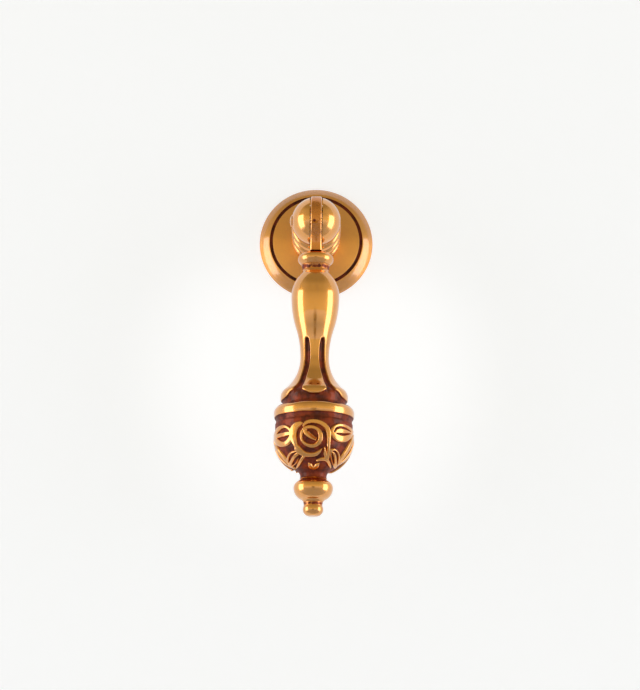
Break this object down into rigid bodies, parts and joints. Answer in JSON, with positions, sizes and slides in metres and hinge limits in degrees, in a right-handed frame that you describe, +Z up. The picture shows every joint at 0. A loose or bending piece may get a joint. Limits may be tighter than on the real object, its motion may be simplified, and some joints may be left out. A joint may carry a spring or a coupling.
{
  "type": "drop pull",
  "caption": "Antiqued brass drop pull: round rosette, stem ending in a slotted ball, and a hinged baluster drop with a carved rose urn and a knob finial.",
  "frame": {"origin": "centre of the rosette's back face, where the screw hole's mouth is", "axes": "+Z up along the hanging drop, +Y into the drawer front along the screw, the pull faces -Y, +X to the right seen from the front"},
  "size_m": [0.028, 0.0298, 0.0858],
  "materials": {
    "rosette_brass": "satin, turned, warm antique gold with dark red patina in the groove",
    "post_brass": "polished antique gold",
    "pin_brass": "satin",
    "drop_brass": "polished antique gold with dark red patina in the hollows"
  },
  "bodies": {
    "fixed": {"backplate": "rosette_brass", "pivot_post": "post_brass", "pivot_pin": "pin_brass"},
    "pendant": {"drop_pendant": "drop_brass"}
  },
  "joints": [
    {"name": "drop_swing", "type": "hinge", "parent": "fixed", "child": "pendant", "pos_m": [0, -0.0203, 0], "axis": [-1, 0, 0], "range_deg": [-11, 180]}
  ]
}
